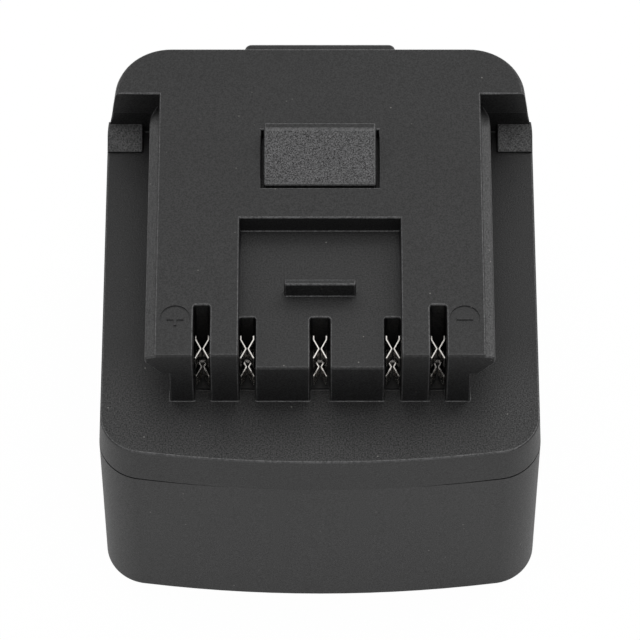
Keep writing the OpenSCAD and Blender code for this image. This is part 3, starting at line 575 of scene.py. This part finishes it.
def moulding(bm, name, node, body, materials):
    """Turns the bmesh into a piece that stands for the node, with smooth shading across its roundings."""
    mesh = bpy.data.meshes.new(name)
    for edge in bm.edges:
        edge.smooth = abs(edge.calc_face_angle_signed(0)) < SMOOTH_BELOW
    for face in bm.faces:
        face.smooth = True
    bm.to_mesh(mesh)
    bm.free()
    for material in materials:
        mesh.materials.append(material)
    piece = bpy.data.objects.new(name, mesh)
    bpy.context.scene.collection.objects.link(piece)
    weigh = piece.modifiers.new("flat_faces_stay_flat", "WEIGHTED_NORMAL")
    weigh.keep_sharp = True
    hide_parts(node)
    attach(piece, body)
    return piece


# %% Regions of the upper shell
# The tilts are the upward parts of a face's normal: 1 is level, 0 is upright.
LEVEL_TILT = 0.99
RAMP_TILTS = (0.85, 0.995)
WALL_TILT = 0.5
PLATE_WITHIN = 0.1 * MM
RAMPS_WITHIN = 4 * MM


def shell_region(face):
    """0 platform, 1 plate, 2 ramps, 3 the cover's outer walls."""
    height = face.calc_center_median().z
    tilt = face.normal.z
    if tilt > LEVEL_TILT and abs(height - PLATE_Z) < PLATE_WITHIN:
        return 1
    if RAMP_TILTS[0] < tilt < RAMP_TILTS[1] and height < PLATE_Z + RAMPS_WITHIN:
        return 2
    if height < PLATE_Z and tilt < WALL_TILT:
        return 3
    return 0


# %% Edges of the shell and the housing
# Angles are in degrees, and an inner corner's is negative.
OUTER_ANGLE = 35
FOOT_ANGLE = -60
SEAM_ROOM = 0.6 * MM
FOOT_WITHIN = 0.05 * MM


def outer_edge(angle, middle):
    """True for outer edges, apart from those at the seam, which stay as sharp as they were moulded."""
    return angle > OUTER_ANGLE and abs(middle.z - SEAM_Z) > SEAM_ROOM


def at_the_foot(angle, middle):
    """True for inner corners on the plate and on the pocket's floor."""
    level = min(abs(middle.z - PLATE_Z), abs(middle.z - POCKET_Z))
    return angle < FOOT_ANGLE and level < FOOT_WITHIN


# %% The upper shell
EDGE_RADIUS = 0.3 * MM
FOOT_RADIUS = 0.2 * MM
FOOT_STEPS = 2
bm = merged_copy("upper_shell")
for face in bm.faces:
    face.material_index = shell_region(face)
convex = round_edges(bm, EDGE_RADIUS, outer_edge)
feet = round_edges(bm, FOOT_RADIUS, at_the_foot, segments=FOOT_STEPS)
upper_shell = moulding(
    bm, "upper_shell_rounded", "upper_shell", "housing",
    [platform_resin, plate_resin, ramp_resin, housing_resin],
)
print("upper shell: edges rounded and feet filled:", convex, feet, "faces:", len(upper_shell.data.polygons))

# %% The lower housing
bm = merged_copy("lower_housing")
rounded_edges = round_edges(bm, EDGE_RADIUS, outer_edge)
lower_housing = moulding(
    bm, "lower_housing_rounded", "lower_housing", "housing", [housing_resin]
)
print("lower housing: edges rounded:", rounded_edges, "faces:", len(lower_housing.data.polygons))

# %% The latch
LATCH_RADIUS = 0.35 * MM
LATCH_ANGLE = 14
SLOPE_TILT = 0.9
SLOPE_FORWARD = 0.1
bm = merged_copy("release_latch")
for face in bm.faces:
    on_slope = face.normal.z > SLOPE_TILT and face.normal.y < -SLOPE_FORWARD
    face.material_index = 1 if on_slope else 0
rounded_edges = round_edges(bm, LATCH_RADIUS, lambda angle, middle: angle > LATCH_ANGLE)
release_latch = moulding(
    bm, "release_latch_rounded", "release_latch", "latch", [platform_resin, slope_resin]
)
print("latch: edges rounded:", rounded_edges, "faces:", len(release_latch.data.polygons))

# %% [markdown]
# ## Metal pieces
# The spring clips in the slots are tinned sheet, the blades in the battery bay are brass, the springs are
# drawn wire and the screws are zinc plated. Metal shows little colour of its own, so the streaks go into the
# roughness and a very shallow bump, and a soft tarnish changes the tone.

# %% The metals
METAL_TONE = (0.8, 1.05)
STREAK_SMOOTHER = 0.06
STREAK_DULLER = 0.1
STREAK_DEPTH = 0.004 * MM


def metal(name, colour, roughness, streaks):
    """Bare metal with streaks from rolling; streaks are counted per metre."""
    material, tree, shader = new_material(name)
    shader.inputs["Metallic"].default_value = 1
    streak = place_group(tree, streak_group, Streaks_per_metre=streaks)
    tone = ramp_node(tree, streak["Tone"], *SOFT_NOISE, *METAL_TONE)
    link(tree, shaded_colour(tree, colour, tone), shader.inputs["Base Color"])
    smoothest = roughness - STREAK_SMOOTHER
    dullest = roughness + STREAK_DULLER
    dullness = ramp_node(tree, streak["Height"], *SOFT_NOISE, smoothest, dullest)
    link(tree, dullness, shader.inputs["Roughness"])
    add_bump(tree, shader, streak["Height"], STREAK_DEPTH)
    return material


clip_metal = metal("tinned_sheet", (0.78, 0.75, 0.71), roughness=0.22, streaks=9000)
spring_steel = metal("spring_wire", (0.48, 0.48, 0.49), roughness=0.3, streaks=12000)
blade_brass = metal("blade_brass", (0.72, 0.56, 0.32), roughness=0.26, streaks=8000)
screw_steel = metal("zinc_plate", (0.36, 0.36, 0.37), roughness=0.36, streaks=5000)
can_metal = metal("can_metal", (0.62, 0.62, 0.64), roughness=0.3, streaks=6000)
print("metals made: 5")

# %% [markdown]
# ## Latch springs
# Two coils stand between the retainer and the latch and push it up. A coil's foot stays on the retainer and
# its head goes down with the latch. Here each is a copy of its node with its own mesh, attached to the
# housing.

# %% The springs
for node in ("latch_spring_left", "latch_spring_right"):
    mesh = frame["nodes"][node].data.copy()
    mesh.materials.clear()
    mesh.materials.append(spring_steel)
    coil = bpy.data.objects.new(node + "_coil", mesh)
    bpy.context.scene.collection.objects.link(coil)
    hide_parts(node)
    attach(coil, "housing")
    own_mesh(coil)

# %% [markdown]
# ## Board and wires
# The board is a laminate under a green lacquer, through which copper tracks show as slightly paler bands.
# The wires have a soft, slightly glossy skin, and the packages on the board are moulded black.

# %% The lacquered board
BOARD_GREEN = (0.02, 0.10, 0.045, 1)
TRACK_GREEN = (0.045, 0.17, 0.07, 1)
TRACK_SCALE = 160
TRACK_WIDTH = 0.05
TRACK_SOFTNESS = 0.1
TRACK_HEIGHT = 0.03 * MM
LACQUER_GRAINS = 4000
LACQUER_ROUGHNESS = (0.25, 0.4)
board_laminate, tree, shader = new_material("lacquered_board")
place = tree.nodes.new("ShaderNodeTexCoord").outputs["Object"]
tracks = tree.nodes.new("ShaderNodeTexBrick")
tracks.inputs["Scale"].default_value = TRACK_SCALE
tracks.inputs["Mortar Size"].default_value = TRACK_WIDTH
tracks.inputs["Mortar Smooth"].default_value = TRACK_SOFTNESS
tracks.inputs["Color1"].default_value = BOARD_GREEN
tracks.inputs["Color2"].default_value = BOARD_GREEN
tracks.inputs["Mortar"].default_value = TRACK_GREEN
link(tree, place, tracks.inputs["Vector"])
link(tree, tracks.outputs["Color"], shader.inputs["Base Color"])
grain = place_group(tree, grain_group, Grains_per_metre=LACQUER_GRAINS)
lacquer = ramp_node(tree, grain["Height"], *SOFT_NOISE, *LACQUER_ROUGHNESS)
link(tree, lacquer, shader.inputs["Roughness"])
add_bump(tree, shader, tracks.outputs["Fac"], TRACK_HEIGHT)
print("board made:", board_laminate.name)

# %% The skin of the wires
SKIN_GRAINS = 2500
SKIN_TONE = (0.8, 1.15)
SKIN_ROUGHNESS = (0.35, 0.5)
SKIN_DEPTH = 0.02 * MM


def wire_skin(name, colour):
    """Soft insulation with a faint change of tone along the wire."""
    material, tree, shader = new_material(name)
    grain = place_group(tree, grain_group, Grains_per_metre=SKIN_GRAINS)
    tone = ramp_node(tree, grain["Tone"], *SOFT_NOISE, *SKIN_TONE)
    link(tree, shaded_colour(tree, colour, tone), shader.inputs["Base Color"])
    link(tree, ramp_node(tree, grain["Height"], *SOFT_NOISE, *SKIN_ROUGHNESS), shader.inputs["Roughness"])
    add_bump(tree, shader, grain["Height"], SKIN_DEPTH)
    return material


wire_red = wire_skin("red_skin", (0.42, 0.025, 0.02))
wire_black = wire_skin("black_skin", (0.015, 0.015, 0.016))
wire_yellow = wire_skin("yellow_skin", (0.62, 0.42, 0.03))
package_resin = wire_skin("package_resin", (0.02, 0.02, 0.021))
print("skins of wires and packages made: 4")

# %% [markdown]
# The mouldings, the latch and the springs already carry their finishes. Every other piece keeps the mesh of
# its node, so only its material is set, by the slot that the record gives it.

# %% Give the nodes their finishes
FINISHES = {
    "clip_metal": clip_metal, "blade_brass": blade_brass, "screw_steel": screw_steel,
    "capacitor_can": can_metal, "board_laminate": board_laminate,
    "wire_red": wire_red, "wire_black": wire_black, "wire_yellow": wire_yellow,
    "component_plastic": package_resin, "inner_plastic": inner_resin,
}
finished = 0
for row in frame["record"]["subparts"]:
    if row["material_slot"] in FINISHES:
        materials = frame["nodes"][row["node"]].data.materials
        materials.clear()
        materials.append(FINISHES[row["material_slot"]])
        finished += 1
print("nodes finished in place:", finished)
